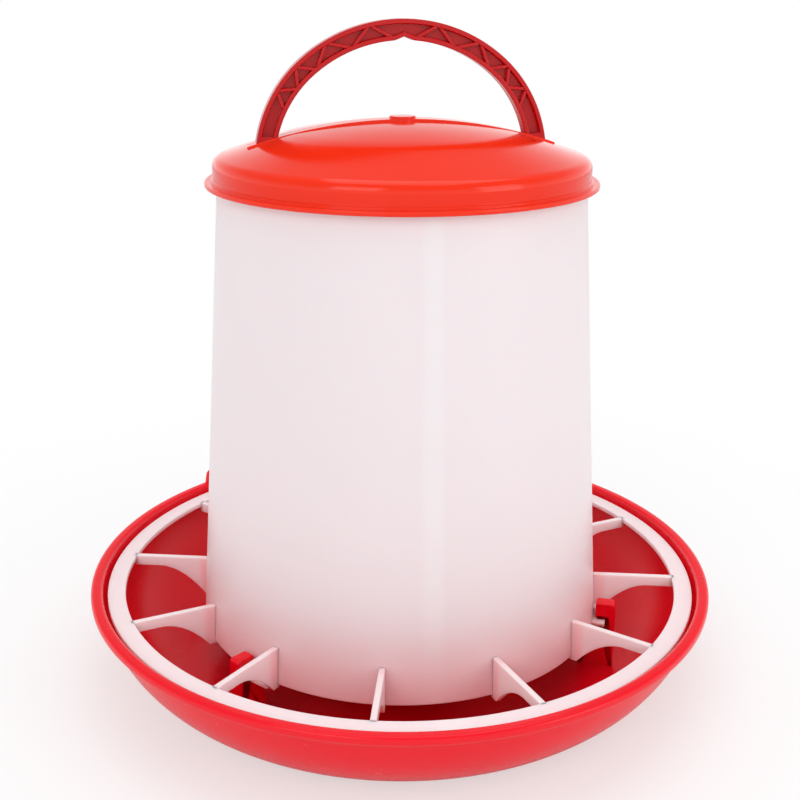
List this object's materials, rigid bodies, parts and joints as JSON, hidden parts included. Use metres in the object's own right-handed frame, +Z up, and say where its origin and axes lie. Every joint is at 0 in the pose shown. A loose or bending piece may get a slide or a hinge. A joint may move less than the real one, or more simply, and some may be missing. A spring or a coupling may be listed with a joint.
{
  "type": "poultry feeder",
  "caption": "Hanging poultry feeder: a round feed pan, a tapered translucent hopper with a feeding grill, and a domed lid with an arched carrying handle.",
  "frame": {"origin": "centre of the flat base, on the feeder's upright axis", "axes": "+Z up; the arched handle stands in the XZ plane; the front looks along -Y"},
  "size_m": [0.36, 0.36, 0.3638],
  "materials": {
    "crimson_plastic": "gloss",
    "white_plastic": "gloss",
    "orange_red_plastic": "gloss",
    "dark_crimson_plastic": "gloss"
  },
  "bodies": {
    "pan": {"feed_pan": "crimson_plastic"},
    "hopper": {"hopper": "white_plastic"},
    "lid": {"lid": "orange_red_plastic", "carry_handle": "dark_crimson_plastic"}
  },
  "joints": [
    {"name": "bayonet_turn", "type": "hinge", "parent": "pan", "child": "hopper", "pos_m": [0, 0, 0.0301], "axis": [0, 0, 1], "range_deg": [0, 12]},
    {"name": "lid_lift", "type": "slide", "parent": "hopper", "child": "lid", "axis": [0, 0, 1], "range_m": [0, 0.1]}
  ]
}
